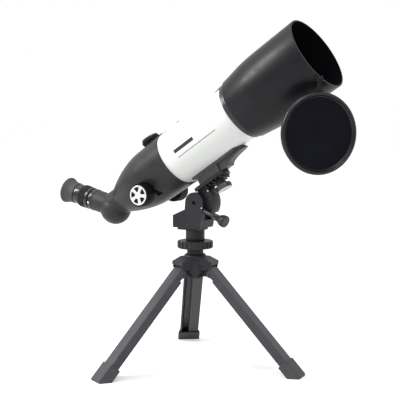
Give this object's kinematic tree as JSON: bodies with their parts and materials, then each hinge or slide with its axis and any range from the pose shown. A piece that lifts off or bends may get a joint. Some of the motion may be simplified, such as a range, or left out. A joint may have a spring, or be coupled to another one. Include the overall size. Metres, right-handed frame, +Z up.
{
  "type": "telescope on tripod",
  "caption": "Small wide-field refractor telescope with an elbow eyepiece, lens hood and hanging cap, on a tabletop tripod with folding legs, a panning column and a tilting head.",
  "frame": {"origin": "on the floor, at the centre of the box around the part, which is within a few millimetres of the tripod centre line", "axes": "+Z up; +X along the front leg, close to the way the tube points; +Y to the left of the tube"},
  "size_m": [0.5256, 0.3252, 0.5309],
  "materials": {
    "tripod_plastic": "fine satin grain",
    "leg_metal": "satin dark grey paint",
    "foot_rubber": "matt",
    "pin_steel": "plain",
    "gear_brass": "plain",
    "tube_white": "gloss white paint",
    "black_metal": "matt black paint",
    "hood_plastic": "satin",
    "knob_plastic": "satin black",
    "bright_trim": "bright plating",
    "optical_glass": "coated"
  },
  "bodies": {
    "tripod": {"hub": "tripod_plastic", "leg_pins": "pin_steel"},
    "leg_a": {"leg_a": "leg_metal", "foot_a": "foot_rubber"},
    "leg_b": {"leg_b": "leg_metal", "foot_b": "foot_rubber"},
    "leg_c": {"leg_c": "leg_metal", "foot_c": "foot_rubber"},
    "ring": {"lock_ring": "tripod_plastic"},
    "head": {"column": "tripod_plastic", "head_block": "tripod_plastic", "tilt_pin": "pin_steel"},
    "handle": {"clamp_stem": "pin_steel", "clamp_grip": "tripod_plastic"},
    "scope": {"tilt_platform": "tripod_plastic", "platform_pad": "foot_rubber", "tube_foot": "black_metal", "foot_screws": "pin_steel", "main_tube": "tube_white", "tube_baffle": "black_metal", "finder_shoe": "black_metal", "top_screw": "pin_steel", "objective_cell": "black_metal", "crown_lens": "optical_glass", "lens_spacer": "black_metal", "flint_lens": "optical_glass", "retaining_ring": "black_metal", "lens_hood": "hood_plastic", "cap_pin": "pin_steel", "rear_housing": "hood_plastic"},
    "camera_screw": {"camera_screw": "pin_steel", "screw_wheel": "tripod_plastic", "screw_disc": "bright_trim"},
    "cap": {"cap_strap": "foot_rubber", "lens_cap": "hood_plastic"},
    "lock": {"lock_knob": "knob_plastic", "lock_disc": "bright_trim", "lock_screw": "pin_steel"},
    "focus": {"draw_tube": "black_metal", "focus_rack": "gear_brass", "elbow": "hood_plastic", "prism": "optical_glass"},
    "focus_knobs": {"focus_shaft": "pin_steel", "pinion": "gear_brass", "knob_right": "knob_plastic", "knob_left": "knob_plastic", "disc_right": "bright_trim", "disc_left": "bright_trim"},
    "holder_screw": {"holder_screw": "pin_steel"},
    "eyepiece": {"eyepiece_barrel": "bright_trim", "eyepiece_body": "knob_plastic", "grip_ring": "foot_rubber", "field_lens": "optical_glass", "eye_lens": "optical_glass", "eyecup": "foot_rubber"}
  },
  "joints": [
    {"name": "leg_a_fold", "type": "hinge", "parent": "tripod", "child": "leg_a", "pos_m": [0.029, 0, 0.147], "axis": [0, 1, 0], "range_deg": [0, 43.2]},
    {"name": "leg_b_fold", "type": "hinge", "parent": "tripod", "child": "leg_b", "pos_m": [-0.0145, 0.02511, 0.147], "axis": [-0.866, -0.5, 0], "range_deg": [0, 43.2]},
    {"name": "leg_c_fold", "type": "hinge", "parent": "tripod", "child": "leg_c", "pos_m": [-0.0145, -0.02511, 0.147], "axis": [0.866, -0.5, 0], "range_deg": [0, 43.2]},
    {"name": "ring_turn", "type": "hinge", "parent": "tripod", "child": "ring", "pos_m": [0, 0, 0.1924], "axis": [0, 0, 1], "continuous": true},
    {"name": "pan", "type": "hinge", "parent": "tripod", "child": "head", "pos_m": [0, 0, 0.2], "axis": [0, 0, 1], "continuous": true},
    {"name": "handle_turn", "type": "hinge", "parent": "head", "child": "handle", "pos_m": [0.02399, -0.01914, 0.247], "axis": [0.9319, -0.1727, -0.319], "continuous": true},
    {"name": "tilt", "type": "hinge", "parent": "head", "child": "scope", "pos_m": [0.00994, -0.00113, 0.2595], "axis": [-0.1132, -0.9936, 0], "range_deg": [-35, 35]},
    {"name": "screw_turn", "type": "hinge", "parent": "scope", "child": "camera_screw", "pos_m": [0.04678, -0.00533, 0.29209], "axis": [-0.5469, 0.0623, 0.8348], "continuous": true},
    {"name": "cap_swing", "type": "hinge", "parent": "scope", "child": "cap", "pos_m": [0.22384, -0.06772, 0.44512], "axis": [-0.7009, -0.7133, 0], "range_deg": [-25, 40]},
    {"name": "lock_turn", "type": "hinge", "parent": "scope", "child": "lock", "pos_m": [-0.08117, 0.00662, 0.35343], "axis": [-0.5521, 0.0102, 0.8337], "continuous": true},
    {"name": "focus_slide", "type": "slide", "parent": "scope", "child": "focus", "axis": [-0.8295, 0.0945, -0.5505], "range_m": [0, 0.03]},
    {"name": "focus_turn", "type": "hinge", "parent": "scope", "child": "focus_knobs", "pos_m": [-0.06742, 0.00768, 0.27021], "axis": [-0.1132, -0.9936, 0], "range_deg": [0, 358.2]},
    {"name": "holder_screw_turn", "type": "hinge", "parent": "focus", "child": "holder_screw", "pos_m": [-0.18556, 0.03864, 0.25461], "axis": [0.1689, 0.9529, 0.2518], "continuous": true},
    {"name": "eyepiece_slide", "type": "slide", "parent": "focus", "child": "eyepiece", "axis": [-0.9665, 0.1101, 0.2317], "range_m": [0, 0.018]}
  ],
  "couplings": [
    {"joint": "focus_turn", "follows": "focus_slide", "rad_per_m": 208.33}
  ]
}
